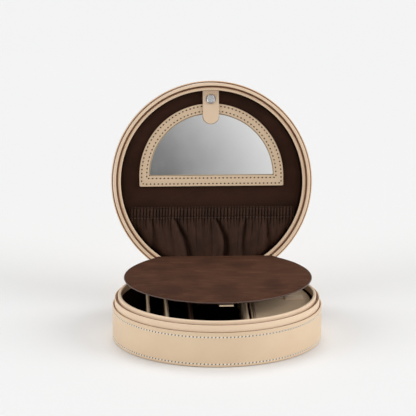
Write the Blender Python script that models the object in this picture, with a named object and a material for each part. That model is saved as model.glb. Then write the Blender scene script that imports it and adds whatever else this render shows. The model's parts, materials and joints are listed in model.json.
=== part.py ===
"""Round leather jewellery case, standing open: base, hinged lid, mirror with snap strap, floating cover.

Metres, +Z up. The origin is the centre of the base's flat underside.
The hinge runs along X at the rear (+Y).
The lid and the cover are built as they lie when the case is shut, then opened about their hinge axes.
"""

from math import acos, asin, atan2, cos, pi, radians, sin, sqrt

import bmesh
import bpy
from mathutils import Matrix, Vector

MM = 0.001
SEGMENTS = 60  # sides of every full turn, shared so that nested rings keep an even gap
GAP = 0.3  # between pieces that touch on the real case

# all sizes below are in millimetres
OUTER_R = 100.0  # outside of the stitched walls
WALL_LEATHER = 1.7
RIM_OUTER_R = 98.0
RIM_INNER_R = 97.0
EDGE_INNER_R = 95.4
EDGE_OUTER_R = 96.7
RING_INNER_R = 91.5
RING_OUTER_R = 94.8
LINING_OUTER_R = 92.3
BOARD_INNER_R = 92.6
RIM_BOTTOM = 22.0
LEATHER_ROLL = 0.3  # how far a cut leather edge is rounded
CORNER_ROLL = 1.1  # where a stitched wall turns into the end of the case

FLOOR_LEATHER = 1.0  # skins of the case's two ends
END_BOARD_IN = 3.1  # from the case's end to the inner face of its board
LINING_OUT = 3.4  # from the case's end to the outer face of its lining
FLOOR_TOP = 4.7
LINING_BOTTOM = 5.0
WALL_TOP = 33.5  # raw top edge of the base's stitched wall
RING_BOTTOM = 36.0
TRAY_TOP = 38.6  # tops of the dividers
CLOSING = 40.0  # height of the closing plane
RING_TOP = 43.2  # the base's inner ring stands proud and enters the lid
RING_ROLL = 0.9

LID_DEPTH = 28.0
LID_RING_RECESS = 3.8
LID_RING_BACK = 9.0
LID_RING_INNER_R = 90.6
LID_RING_OUTER_R = 93.6
LID_EDGE_R = (93.9, 94.9)  # raw edge showing between the lid's inner ring and its rim band
LID_EDGE_RECESS = 4.0
LID_BAND_INNER_R = 95.2
LID_WALL_START = 6.5
PANEL_FACE = 18.3  # depth of the padded panel below the lid's rim
LID_OPEN = 102.0  # degrees
LID_AXIS_Y = 95.8
LID_AXIS_Z = 30.5

HINGE_STRAP = (1.3, 24.0, 8)  # thickness, half angle in degrees, flats along it
HINGE_STRAP_BASE = (16.0, 31.0)  # heights on the base
HINGE_STRAP_LID = (9.0, 20.0)  # depths on the lid

ANCHOR = (16.0, 88.3, 89.5, 26.0, 39.4)  # strip that holds the cover's leaf: half width, y, y, z, z
LEAF_LENGTH = 17.0
LEAF_OPEN = 65.0  # degrees
LEAF_HALF = (16.0, 50.0)  # half widths at the base and at the spine
LEAF_SHORT = 1.0  # the leaf stops this far from its two axes
LEAF_AXIS_Y = 88.9
LEAF_AXIS_Z = 40.5
LEAF_THICK = 1.2
COVER_R = 89.8
COVER_X = 1.2
COVER_BOTTOM = 39.0
COVER_THICK = 3.4
COVER_SKIN = 0.9
SPINE_REAR = 71.1
SPINE_FRONT = 66.9
COVER_REAR = 66.3
COVER_TAB = (-1.2, 12.4, -90.2, -72.0)  # x, x, front, hinge
COVER_TAB_LOW = 37.6
COVER_TAB_TOP = 38.7

DIVIDERS = {  # name: (centre, width)
    "divider_left": (-66.0, 2.8),
    "divider_middle": (-48.7, 3.0),
    "divider_centre": (-26.3, 3.6),
    "divider_right": (25.8, 4.1),
}
TUB_LEFT = 31.8
TUB_OUTER_R = 90.9
TUB_INNER_R = 87.6
TUB_WALL = 1.6
TUB_FLOOR = 6.2
TUB_TOP = 34.2
TUB_LID_R = 88.8
TUB_BOARD_TOP = 35.7
TUB_LID_TOP = 37.3
TUB_HINGE = (31.4, 34.6)  # x and z of the tub lid's axis
PIPING = (0.85, 30.65, 36.5, 78.0)  # radius, x, z, half length
TUB_TAB = (64.6, 82.3, 7.3)  # left end, right end, half width
TUB_TAB_TOP = 38.6
TUB_TAB_AXIS_Z = 38.0

MIRROR_R = 72.0
MIRROR_CENTRE = 5.5  # above the lid's centre, towards the rim's front
MIRROR_BOTTOM = -5.1
MIRROR_FACE = (14.4, 16.3)  # depths of the stitched frame
GLASS_FACE = 15.0
BACKING = (16.6, 17.9)
MIRROR_AXIS_DEPTH = 18.0
GLASS_R = 62.3
GLASS_BOTTOM = 5.5
STRAP_TOP = 88.6
STRAP_TIP = 57.2
STRAP_HALF = 8.0
STRAP_FACE = (12.4, 13.9)  # depths
STRAP_ANCHOR = (89.5, 90.6, 9.6, 17.9)  # heights and depths of the strip that holds the strap
SNAP_AT = 81.8
POCKET_TOP = -25.8
BAND_BOTTOM = -36.6
BAND_HALF = 82.0
BAND_FACE = (8.4, 10.2)
POCKET_R = 89.6
POCKET_FACE = (8.6, 10.0)

# turned fittings of the strap's press snap: (radius, depth in the lid)
SNAP_CAP = [(0, 12.1), (5.0, 12.1), (4.8, 11.2), (3.6, 10.7), (0, 10.5)]
SNAP_SOCKET = [(2.6, 14.2), (3.9, 14.2), (3.9, 15.6), (2.6, 15.6)]
SNAP_STUD = [(0, 14.9), (2.1, 14.9), (2.1, 16.9), (3.8, 16.9), (3.8, 18.0), (0, 18.0)]
SNAP_SIDES = 20

CREAM = (0.66, 0.50, 0.35)
RAW_EDGE = (0.22, 0.10, 0.04)
SUEDE = (0.085, 0.042, 0.030)
TAUPE = (0.42, 0.33, 0.24)
BOARD = (0.30, 0.25, 0.20)
SATIN = (0.055, 0.030, 0.024)
STEEL = (0.75, 0.75, 0.76)


def clear_scene():
    for thing in list(bpy.data.objects):
        bpy.data.objects.remove(thing, do_unlink=True)


def material(name, colour, roughness, metallic=0.0):
    made = bpy.data.materials.new(name)
    made.use_nodes = True
    shader = made.node_tree.nodes["Principled BSDF"]
    shader.inputs["Base Color"].default_value = (*colour, 1.0)
    shader.inputs["Roughness"].default_value = roughness
    shader.inputs["Metallic"].default_value = metallic
    return made


def pivot(name, y, z, degrees, parent=None, x=0.0, axis="X"):
    """An empty on a joint's axis. The pieces below it are built as if the joint were shut."""
    empty = bpy.data.objects.new(name, None)
    bpy.context.collection.objects.link(empty)
    turn = Matrix.Rotation(radians(degrees), 4, axis)
    shut = Matrix.Translation(Vector((x, y, z)) * MM)
    base = parent.matrix_world if parent else Matrix.Identity(4)
    empty.parent = parent
    empty.matrix_world = base @ shut @ turn
    empty["shut"] = [x, y, z]
    bpy.context.view_layer.update()
    return empty


def add(name, mesh, colour, roughness, parent=None, metallic=0.0):
    """Links a mesh built in the shut case's millimetres as a named piece under its joint's empty."""
    bmesh.ops.recalc_face_normals(mesh, faces=mesh.faces)
    bmesh.ops.scale(mesh, vec=(MM, MM, MM), verts=mesh.verts)
    if parent:
        offset = whole_shut(parent)
        bmesh.ops.translate(mesh, vec=-offset, verts=mesh.verts)
    data = bpy.data.meshes.new(name)
    mesh.to_mesh(data)
    mesh.free()
    data.shade_smooth()
    data.set_sharp_from_angle(angle=radians(35))
    data.materials.append(material(name, colour, roughness, metallic))
    piece = bpy.data.objects.new(name, data)
    bpy.context.collection.objects.link(piece)
    piece.parent = parent
    return piece


def whole_shut(empty):
    """Where a joint's empty stands when the case is shut."""
    total = Vector(empty["shut"]) * MM
    while empty.parent:
        empty = empty.parent
        total += Vector(empty["shut"]) * MM
    return total


def turned(profile, steps=SEGMENTS):
    """The profile's (radius, height) points carried round Z. A profile from the axis stays open there."""
    mesh = bmesh.new()
    points = [mesh.verts.new((r, 0, z)) for r, z in profile]
    first = 1 if profile[0][0] == 0 else 0
    edges = [mesh.edges.new((points[i - 1], points[i])) for i in range(first, len(points))]
    bmesh.ops.spin(
        mesh, geom=points + edges, cent=(0, 0, 0), axis=(0, 0, 1), angle=2 * pi, steps=steps, use_merge=True
    )
    bmesh.ops.remove_doubles(mesh, verts=mesh.verts, dist=0.001)
    return mesh


def disc(radius, low, high, segments=SEGMENTS):
    """A round plate whose corners lie on the same rays as a turned ring's."""
    mesh = bmesh.new()
    bmesh.ops.create_cone(
        mesh, cap_ends=True, segments=segments, radius1=radius, radius2=radius, depth=high - low
    )
    turn = Matrix.Rotation(-pi / 2, 4, "Z")
    bmesh.ops.transform(mesh, matrix=Matrix.Translation((0, 0, (low + high) / 2)) @ turn, verts=mesh.verts)
    return mesh


def arc(radius, start, end, steps, x=0.0, y=0.0):
    """Points on an arc, angles in radians from +X."""
    turns = [start + (end - start) * i / steps for i in range(steps + 1)]
    return [(x + radius * cos(t), y + radius * sin(t)) for t in turns]


def plate(outline, low, high):
    """A flat piece: an outline of (x, y) points between two heights."""
    mesh = bmesh.new()
    face = mesh.faces.new([mesh.verts.new((x, y, low)) for x, y in outline])
    rise = bmesh.ops.extrude_face_region(mesh, geom=[face])["geom"]
    upper = [v for v in rise if isinstance(v, bmesh.types.BMVert)]
    bmesh.ops.translate(mesh, vec=(0, 0, high - low), verts=upper)
    return mesh


def frame(outer, inner, low, high):
    """A flat frame between two outlines with equally many points."""
    mesh = bmesh.new()
    loops = [[mesh.verts.new((x, y, z)) for x, y in line] for line in (outer, inner) for z in (low, high)]
    ring = [loops[0], loops[1], loops[3], loops[2]]
    for a, b in zip(ring, ring[1:] + ring[:1]):
        for i in range(len(a)):
            mesh.faces.new((a[i - 1], a[i], b[i], b[i - 1]))
    return mesh


def cup(outer, inner, low, floor, high):
    """An open box: walls between two outlines, closed below by a floor."""
    mesh = bmesh.new()
    levels = [(outer, low), (outer, high), (inner, high), (inner, floor)]
    rows = [[mesh.verts.new((x, y, z)) for x, y in line] for line, z in levels]
    for a, b in zip(rows, rows[1:]):
        for i in range(len(a)):
            mesh.faces.new((a[i - 1], a[i], b[i], b[i - 1]))
    mesh.faces.new(rows[0])
    mesh.faces.new(rows[-1])
    return mesh


def box(x0, x1, y0, y1, z0, z1):
    return plate([(x0, y0), (x1, y0), (x1, y1), (x0, y1)], z0, z1)


def hinge_strip(low, high):
    """A strip of leather lying round the outside of the rear wall, its corners on the wall's own rays."""
    thick, half_angle, steps = HINGE_STRAP
    radius = OUTER_R + GAP
    start = pi / 2 - radians(half_angle)
    end = pi / 2 + radians(half_angle)
    outline = arc(radius + thick, start, end, steps) + arc(radius, end, start, steps)
    return plate(outline, low, high)


def segment_outline(radius, left, steps):
    """The part of a circle to the right of a straight line at x = left."""
    reach = acos(left / radius)
    return arc(radius, -reach, reach, steps)


def d_outline(radius, bottom, steps):
    """The mirror's D shape in the shut lid: round towards the front, straight towards the hinge."""
    centre = -MIRROR_CENTRE
    side = -bottom
    outline = arc(radius, pi, 2 * pi, steps, 0, centre)
    if side > centre:
        outline += [(radius, side), (-radius, side)]
        return outline
    reach = asin((centre - side) / radius)
    return arc(radius, pi + reach, 2 * pi - reach, steps + 2, 0, centre)


def rounded_top(inner, outer, low, high, roll):
    """A ring's profile with both top edges rolled over."""
    return [
        (inner, low),
        (outer, low),
        (outer, high - roll),
        (outer - roll * 0.3, high - roll * 0.3),
        (outer - roll, high),
        (inner + roll, high),
        (inner + roll * 0.3, high - roll * 0.3),
        (inner, high - roll),
    ]


def flipped(profile):
    """A profile of the lid: depths from its rim become heights in the shut case."""
    return [(r, CLOSING + depth) for r, depth in profile]


def mirrored(profile):
    """A base profile turned over for the lid: heights are counted down from the lid's outer face."""
    return [(r, CLOSING + LID_DEPTH - height) for r, height in profile]


def wall_profile(low, high):
    """The stitched wall's section: a wide curve at the case's end, a small one at the free edge."""
    inner = OUTER_R - WALL_LEATHER
    return [
        (inner, low),
        (OUTER_R - CORNER_ROLL, low),
        (OUTER_R, low + CORNER_ROLL),
        (OUTER_R, high - LEATHER_ROLL),
        (OUTER_R - LEATHER_ROLL, high),
        (inner, high),
    ]


def rim_profile(inner, low, high):
    """The rim band's section, rolled at the closing plane."""
    return [
        (inner, low),
        (RIM_OUTER_R, low),
        (RIM_OUTER_R, high - 3 * LEATHER_ROLL),
        (RIM_OUTER_R - LEATHER_ROLL, high - LEATHER_ROLL),
        (RIM_OUTER_R - 2 * LEATHER_ROLL, high),
        (inner, high),
    ]


def build_base():
    add("base_bottom_leather", disc(RIM_OUTER_R, 0, FLOOR_LEATHER), CREAM, 0.55)
    add("base_bottom_board", disc(RIM_OUTER_R, FLOOR_LEATHER + GAP, END_BOARD_IN), BOARD, 0.8)
    board = [
        (BOARD_INNER_R, LINING_OUT),
        (RIM_OUTER_R, LINING_OUT),
        (RIM_OUTER_R, RIM_BOTTOM - GAP),
        (RING_OUTER_R, RIM_BOTTOM - GAP),
        (RING_OUTER_R, RING_BOTTOM - GAP),
        (BOARD_INNER_R, RING_BOTTOM - GAP),
    ]
    add("base_wall_board", turned(board), BOARD, 0.8)
    add("base_wall_leather", turned(wall_profile(GAP, WALL_TOP)), CREAM, 0.5)
    add("base_rim_band", turned(rim_profile(RIM_INNER_R, RIM_BOTTOM, CLOSING)), CREAM, 0.5)
    edge = [
        (EDGE_INNER_R, RIM_BOTTOM),
        (EDGE_OUTER_R, RIM_BOTTOM),
        (EDGE_OUTER_R, CLOSING),
        (EDGE_INNER_R, CLOSING),
    ]
    add("base_edge_ring", turned(edge), RAW_EDGE, 0.6)
    ring = rounded_top(RING_INNER_R, RING_OUTER_R, RING_BOTTOM, RING_TOP, RING_ROLL)
    add("base_inner_ring", turned(ring), CREAM, 0.5)
    lining = [
        (RING_INNER_R, LINING_BOTTOM),
        (LINING_OUTER_R, LINING_BOTTOM),
        (LINING_OUTER_R, RING_BOTTOM - GAP),
        (RING_INNER_R, RING_BOTTOM - GAP),
    ]
    add("base_lining_wall", turned(lining), SUEDE, 0.95)
    add("base_lining_floor", disc(RING_INNER_R - GAP, LINING_OUT, FLOOR_TOP), SUEDE, 0.95)
    add("hinge_strap_base", hinge_strip(*HINGE_STRAP_BASE), CREAM, 0.5)
    half, y0, y1, z0, z1 = ANCHOR
    add("cover_anchor", box(-half, half, y0, y1, z0, z1), SUEDE, 0.95)


def build_dividers():
    wall = RING_INNER_R - 0.5
    behind = ANCHOR[1] - 1.3  # the longest ones stop short of the cover's anchor strip
    for name, (centre, width) in DIVIDERS.items():
        far = max(abs(centre - width / 2), abs(centre + width / 2))
        half = min(sqrt(wall * wall - far * far), behind)
        piece = box(centre - width / 2, centre + width / 2, -half, half, FLOOR_TOP + GAP, TRAY_TOP)
        add(name, piece, TAUPE if name != "divider_centre" else SUEDE, 0.95)


def build_tub():
    outer = segment_outline(TUB_OUTER_R, TUB_LEFT, 20)
    inner = segment_outline(TUB_INNER_R, TUB_LEFT + TUB_WALL, 20)
    add("tub", cup(outer, inner, FLOOR_TOP + GAP, TUB_FLOOR, TUB_TOP), TAUPE, 0.95)
    hinge_x, hinge_z = TUB_HINGE
    hinge = pivot("tub_lid_axis", 0, hinge_z, 0, x=hinge_x, axis="Y")
    lid = segment_outline(TUB_LID_R, TUB_LEFT, 20)
    add("tub_lid_board", plate(lid, TUB_TOP + GAP, TUB_BOARD_TOP), BOARD, 0.8, hinge)
    add("tub_lid_suede", plate(lid, TUB_BOARD_TOP + GAP, TUB_LID_TOP), TAUPE, 0.95, hinge)
    radius, rod_x, rod_z, reach = PIPING
    rod = disc(radius, -reach, reach, segments=10)
    lay = Matrix.Translation((rod_x, 0, rod_z)) @ Matrix.Rotation(pi / 2, 4, "X")
    bmesh.ops.transform(rod, matrix=lay, verts=rod.verts)
    add("tub_lid_piping", rod, TAUPE, 0.9, hinge)
    left, right, half = TUB_TAB
    tab = pivot("tub_tab_axis", 0, TUB_TAB_AXIS_Z - hinge_z, 0, hinge, x=left - hinge_x, axis="Y")
    add("tub_pull_tab", box(left + 0.2, right, -half, half, TUB_LID_TOP + 0.2, TUB_TAB_TOP), CREAM, 0.5, tab)


def build_lid():
    lid = pivot("lid_axis", LID_AXIS_Y, LID_AXIS_Z, -LID_OPEN)
    top = CLOSING + LID_DEPTH
    add("lid_top_leather", disc(RIM_OUTER_R, top - FLOOR_LEATHER, top), CREAM, 0.5, lid)
    add("lid_top_board", disc(RIM_OUTER_R, top - END_BOARD_IN, top - FLOOR_LEATHER - GAP), BOARD, 0.8, lid)
    board = [
        (BOARD_INNER_R, LID_RING_BACK + GAP),
        (RING_OUTER_R, LID_RING_BACK + GAP),
        (RING_OUTER_R, PANEL_FACE),
        (RIM_OUTER_R, PANEL_FACE),
        (RIM_OUTER_R, LID_DEPTH - LINING_OUT),
        (BOARD_INNER_R, LID_DEPTH - LINING_OUT),
    ]
    add("lid_wall_board", turned(flipped(board)), BOARD, 0.8, lid)
    add("lid_wall_leather", turned(mirrored(wall_profile(GAP, LID_DEPTH - LID_WALL_START))), CREAM, 0.5, lid)
    band = rim_profile(LID_BAND_INNER_R, LID_DEPTH - PANEL_FACE + GAP, LID_DEPTH - GAP)
    add("lid_rim_band", turned(mirrored(band)), CREAM, 0.5, lid)
    inner, outer = LID_EDGE_R
    edge = [
        (inner, LID_EDGE_RECESS),
        (outer, LID_EDGE_RECESS),
        (outer, LID_RING_BACK),
        (inner, LID_RING_BACK),
    ]
    add("lid_edge_ring", turned(flipped(edge)), RAW_EDGE, 0.6, lid)
    back = LID_DEPTH - LID_RING_BACK
    front = LID_DEPTH - LID_RING_RECESS
    ring = rounded_top(LID_RING_INNER_R, LID_RING_OUTER_R, back, front, RING_ROLL)
    add("lid_inner_ring", turned(mirrored(ring)), CREAM, 0.5, lid)
    lining = [
        (RING_INNER_R, LID_RING_BACK + GAP),
        (LINING_OUTER_R, LID_RING_BACK + GAP),
        (LINING_OUTER_R, LID_DEPTH - LINING_OUT),
        (RING_INNER_R, LID_DEPTH - LINING_OUT),
    ]
    add("lid_lining_wall", turned(flipped(lining)), SUEDE, 0.95, lid)
    panel = disc(RING_INNER_R - GAP - 0.1, CLOSING + PANEL_FACE, top - LINING_OUT)
    add("lid_lining_panel", panel, SUEDE, 0.95, lid)
    near, far = HINGE_STRAP_LID
    add("hinge_strap_lid", hinge_strip(CLOSING + near, CLOSING + far), CREAM, 0.5, lid)
    build_pocket(lid)
    build_mirror(lid)


def build_pocket(lid):
    top = -BAND_BOTTOM + 0.4
    reach = acos(top / POCKET_R)
    cloth = arc(POCKET_R, pi / 2 - reach, pi / 2 + reach, 20)
    near, far = POCKET_FACE
    add("pocket_cloth", plate(cloth, CLOSING + near, CLOSING + far), SATIN, 0.9, lid)
    near, far = BAND_FACE
    band = box(-BAND_HALF, BAND_HALF, -POCKET_TOP, -BAND_BOTTOM, CLOSING + near, CLOSING + far)
    add("pocket_band", band, SATIN, 0.9, lid)


def build_mirror(lid):
    axis_z = CLOSING + MIRROR_AXIS_DEPTH - LID_AXIS_Z
    axis = pivot("mirror_axis", -MIRROR_BOTTOM - LID_AXIS_Y, axis_z, 0, lid)
    outer = d_outline(MIRROR_R, MIRROR_BOTTOM, 36)
    back = d_outline(MIRROR_R - 0.5, MIRROR_BOTTOM + 0.5, 36)
    inner = d_outline(GLASS_R, GLASS_BOTTOM, 36)
    glass = d_outline(GLASS_R - 0.3, GLASS_BOTTOM + 0.3, 36)
    add("mirror_backing", plate(back, CLOSING + BACKING[0], CLOSING + BACKING[1]), BOARD, 0.8, axis)
    near, far = MIRROR_FACE
    add("mirror_frame", frame(outer, inner, CLOSING + near, CLOSING + far), CREAM, 0.5, axis)
    add("mirror_glass", plate(glass, CLOSING + GLASS_FACE, CLOSING + far), STEEL, 0.03, axis, 1.0)
    build_strap(lid)


def build_strap(lid):
    near, far = STRAP_FACE
    flip = pivot("strap_axis", -STRAP_TOP - LID_AXIS_Y, CLOSING + (near + far) / 2 - LID_AXIS_Z, 0, lid)
    tip = STRAP_TIP + STRAP_HALF
    outline = [(-STRAP_HALF, -STRAP_TOP + 0.6), (STRAP_HALF, -STRAP_TOP + 0.6)]
    outline += arc(STRAP_HALF, 0, pi, 10, 0, -tip)
    add("mirror_strap", plate(outline, CLOSING + near, CLOSING + far), CREAM, 0.5, flip)
    add("snap_cap", snap(SNAP_CAP), STEEL, 0.2, flip, 1.0)
    add("snap_socket", snap(SNAP_SOCKET), STEEL, 0.25, flip, 1.0)
    add("snap_stud", snap(SNAP_STUD), STEEL, 0.25, lid, 1.0)
    low, high, near, far = STRAP_ANCHOR
    anchor = box(-STRAP_HALF, STRAP_HALF, -high, -low, CLOSING + near, CLOSING + far)
    add("strap_anchor", anchor, CREAM, 0.5, lid)


def snap(profile):
    """A small turned fitting on the strap's centre line."""
    mesh = turned(flipped(profile), SNAP_SIDES)
    bmesh.ops.translate(mesh, vec=(0, -SNAP_AT, 0), verts=mesh.verts)
    return mesh


def build_cover():
    leaf = pivot("leaf_axis", LEAF_AXIS_Y, LEAF_AXIS_Z, -LEAF_OPEN)
    near = LEAF_AXIS_Y - LEAF_SHORT
    far = LEAF_AXIS_Y - LEAF_LENGTH + LEAF_SHORT
    narrow, wide = LEAF_HALF
    tongue = [(-narrow, near), (-wide, far), (wide, far), (narrow, near)]
    half = LEAF_THICK / 2
    add("cover_leaf", plate(tongue, LEAF_AXIS_Z - half, LEAF_AXIS_Z + half), SUEDE, 0.95, leaf)

    spine = pivot("spine_axis", -LEAF_LENGTH, 0, LEAF_OPEN, leaf)
    top = COVER_BOTTOM + COVER_THICK
    batten = cover_band(SPINE_FRONT, SPINE_REAR)
    add("cover_spine", plate(batten, COVER_BOTTOM, top), SUEDE, 0.95, spine)

    spine_y = LEAF_AXIS_Y - LEAF_LENGTH
    fold = pivot("cover_axis", (COVER_REAR + SPINE_FRONT) / 2 - spine_y, top - LEAF_AXIS_Z, 0, spine)
    outline = cover_outline(COVER_REAR, COVER_R)
    inner = cover_outline(COVER_REAR - 1.0, COVER_R - 1.0)
    skin = COVER_SKIN
    add("cover_under_suede", plate(outline, COVER_BOTTOM, COVER_BOTTOM + skin), SUEDE, 0.95, fold)
    board = plate(inner, COVER_BOTTOM + skin + GAP, top - skin - 2 * GAP)
    add("cover_board", board, BOARD, 0.8, fold)
    add("cover_top_suede", plate(outline, top - skin - GAP, top), SUEDE, 0.95, fold)
    left, right, front, hinge_y = COVER_TAB
    tab_z = (COVER_TAB_LOW + COVER_TAB_TOP) / 2
    tab = pivot("cover_tab_axis", hinge_y - (COVER_REAR + SPINE_FRONT) / 2, tab_z - top, 0, fold)
    flap = box(left, right, front, hinge_y - 0.2, COVER_TAB_LOW, COVER_TAB_TOP)
    add("cover_pull_tab", flap, CREAM, 0.5, tab)


def cover_outline(rear, radius):
    """The cover's round outline, cut straight along its rear fold."""
    reach = atan2(rear, sqrt(radius * radius - rear * rear))
    return arc(radius, pi - reach, 2 * pi + reach, 52, COVER_X, 0)


def cover_band(front, rear):
    """The strip of the same circle between two straight lines, for the spine batten."""
    turns = [asin(front / COVER_R), asin(rear / COVER_R)]
    right = arc(COVER_R, turns[0], turns[1], 3, COVER_X, 0)
    left = arc(COVER_R, pi - turns[1], pi - turns[0], 3, COVER_X, 0)
    return right + left


clear_scene()
build_base()
build_dividers()
build_tub()
build_lid()
build_cover()
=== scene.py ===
# Round jewellery case in calf leather and suede, standing open.
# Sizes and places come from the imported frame; the dictionaries beside each piece hold what can be changed.
import json

from math import acos, asin, cos, degrees, exp, hypot, pi, radians, sin, sqrt
from types import SimpleNamespace

import bmesh
import bpy
from mathutils import Matrix, Vector, noise


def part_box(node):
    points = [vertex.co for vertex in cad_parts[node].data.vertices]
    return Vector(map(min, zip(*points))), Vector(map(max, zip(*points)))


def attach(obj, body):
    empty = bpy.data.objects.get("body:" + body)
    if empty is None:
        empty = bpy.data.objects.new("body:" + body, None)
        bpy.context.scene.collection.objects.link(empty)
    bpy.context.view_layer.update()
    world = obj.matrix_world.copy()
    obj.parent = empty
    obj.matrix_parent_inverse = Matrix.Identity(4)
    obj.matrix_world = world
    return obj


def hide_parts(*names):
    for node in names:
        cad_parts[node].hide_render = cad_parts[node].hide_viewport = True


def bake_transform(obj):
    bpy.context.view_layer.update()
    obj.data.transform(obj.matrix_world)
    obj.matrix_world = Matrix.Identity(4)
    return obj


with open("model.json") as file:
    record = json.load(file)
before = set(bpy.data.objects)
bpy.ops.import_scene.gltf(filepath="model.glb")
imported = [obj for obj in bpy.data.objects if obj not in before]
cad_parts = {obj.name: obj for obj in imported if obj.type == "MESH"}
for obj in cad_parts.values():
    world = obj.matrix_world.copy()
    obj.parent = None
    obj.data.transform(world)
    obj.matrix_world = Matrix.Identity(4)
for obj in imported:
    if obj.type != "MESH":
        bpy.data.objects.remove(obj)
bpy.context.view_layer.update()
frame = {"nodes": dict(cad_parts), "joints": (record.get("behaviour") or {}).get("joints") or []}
joints = {joint["name"]: joint for joint in frame["joints"]}
mm = 0.001
print("frame loaded:", len(frame["nodes"]), "nodes")


def turnAbout(jointName, turn, shutPoint):
    # carries the shut case's frame to a body turned about its joint
    where = Matrix.Translation(Vector(joints[jointName]["pos_m"]))
    return where @ Matrix.Rotation(radians(turn), 4, "X") @ Matrix.Translation(-Vector(shutPoint))


lidAxis = Vector(joints["lid_hinge"]["pos_m"])
lidTurn = -joints["lid_hinge"]["range_deg"][0]
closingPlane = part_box("base_rim_band")[1].z
basePlace = Matrix.Identity(4)
# the lid's frame: x to the right, y up the open lid, z out of it, from the centre of its rim
lidPlace = turnAbout("lid_hinge", 180 - lidTurn, (0, -lidAxis.y, closingPlane - lidAxis.z))
leafAxis = Vector(joints["leaf_fold"]["pos_m"])
leafTurn = joints["leaf_fold"]["range_deg"][0]
leafPlace = turnAbout("leaf_fold", leafTurn, leafAxis)
spineAxis = Vector(joints["spine_level"]["pos_m"])
leafLength = (spineAxis - leafAxis).length
spineShut = leafAxis - Vector((0, leafLength, 0))
coverTilt = leafTurn + joints["spine_level"]["range_deg"][1]
coverPlace = turnAbout("spine_level", coverTilt, spineShut)


def sizes(node, place=basePlace):
    # a CAD node's extent in a body's own frame, in millimetres
    back = place.inverted()
    points = [back @ v.co / mm for v in frame["nodes"][node].data.vertices]
    low, high = (Vector([pick(p[i] for p in points) for i in range(3)]) for pick in (min, max))
    reach = [hypot(p.x, p.y) for p in points]
    return SimpleNamespace(
        x0=low.x, x1=high.x, y0=low.y, y1=high.y, z0=low.z, z1=high.z, inner=min(reach), outer=max(reach)
    )


def hexColour(code):
    # an sRGB hex value as a linear colour
    parts = [int(code[i : i + 2], 16) / 255 for i in (1, 3, 5)]
    return [p / 12.92 if p <= 0.04045 else ((p + 0.055) / 1.055) ** 2.4 for p in parts] + [1.0]


def addNode(tree, kind, inputs=None, **settings):
    # one node with its settings; an input is a value or the socket that feeds it
    node = tree.nodes.new(kind)
    for key, value in settings.items():
        setattr(node, key, value)
    for key, value in (inputs or {}).items():
        if isinstance(value, bpy.types.NodeSocket):
            tree.links.new(value, node.inputs[key])
        else:
            node.inputs[key].default_value = value
    return node


def newMaterial(name, **surface):
    made = bpy.data.materials.new(name)
    made.use_nodes = True
    shader = made.node_tree.nodes["Principled BSDF"]
    for key, value in surface.items():
        shader.inputs[key.replace("_", " ")].default_value = value
    return made, made.node_tree, shader


def blendColours(tree, share, first, second):
    # a colour is a socket, a list or an sRGB hex value
    first, second = (hexColour(c) if isinstance(c, str) else c for c in (first, second))
    return addNode(tree, "ShaderNodeMix", {0: share, 6: first, 7: second},
                   data_type="RGBA").outputs[2]


def spread(tree, value, low, high, newLow=0.0, newHigh=1.0):
    # stretches a range of values to another
    inputs = {"Value": value, "From Min": low, "From Max": high, "To Min": newLow,
              "To Max": newHigh}
    return addNode(tree, "ShaderNodeMapRange", inputs).outputs[0]


def fineNoise(tree, where, size, detail=2.0, roughness=0.5):
    # noise whose blobs are about size millimetres across
    inputs = {"Vector": where, "Scale": 1 / (size * mm), "Detail": detail, "Roughness": roughness}
    return addNode(tree, "ShaderNodeTexNoise", inputs).outputs["Fac"]


def ownSpace(tree):
    return addNode(tree, "ShaderNodeTexCoord").outputs["Object"]


def bumped(tree, shader, height, depth, strength):
    # raises the surface by a height map whose depth is in millimetres
    inputs = {"Height": height, "Distance": depth * mm, "Strength": strength}
    tree.links.new(addNode(tree, "ShaderNodeBump", inputs).outputs[0], shader.inputs["Normal"])


def calfLeather(name, face, shade, grain=0.75, depth=0.05, satin=0.46):
    # chrome-tanned calf, pigmented and plated: fine pebble grain, a low satin sheen, slightly uneven dye
    made, tree, shader = newMaterial(name, Coat_Weight=0.08, Coat_Roughness=0.35, IOR=1.5)
    where = ownSpace(tree)
    pebble = addNode(
        tree, "ShaderNodeTexVoronoi", {"Vector": where,
                                       "Scale": 1 / (grain * mm)}, feature="SMOOTH_F1"
    ).outputs["Distance"]
    pores = fineNoise(tree, where, 0.3, 3)
    dye = spread(tree, fineNoise(tree, where, 26, 4), 0.35, 0.7, 0, 0.4)
    valley = spread(tree, pebble, 0.45, 0.8, 0, 0.28)
    evenFace = blendColours(tree, dye, face, shade)
    darkGrain = blendColours(tree, valley, evenFace, shade)
    tree.links.new(darkGrain, shader.inputs["Base Color"])
    tree.links.new(spread(tree, pores, 0.3, 0.75, satin - 0.05, satin + 0.1),
                   shader.inputs["Roughness"])
    height = addNode(tree, "ShaderNodeMath", {0: pebble, 1: -0.8, 2: pores},
                     operation="MULTIPLY_ADD").outputs[0]
    bumped(tree, shader, height, depth, 0.8)
    return made


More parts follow.
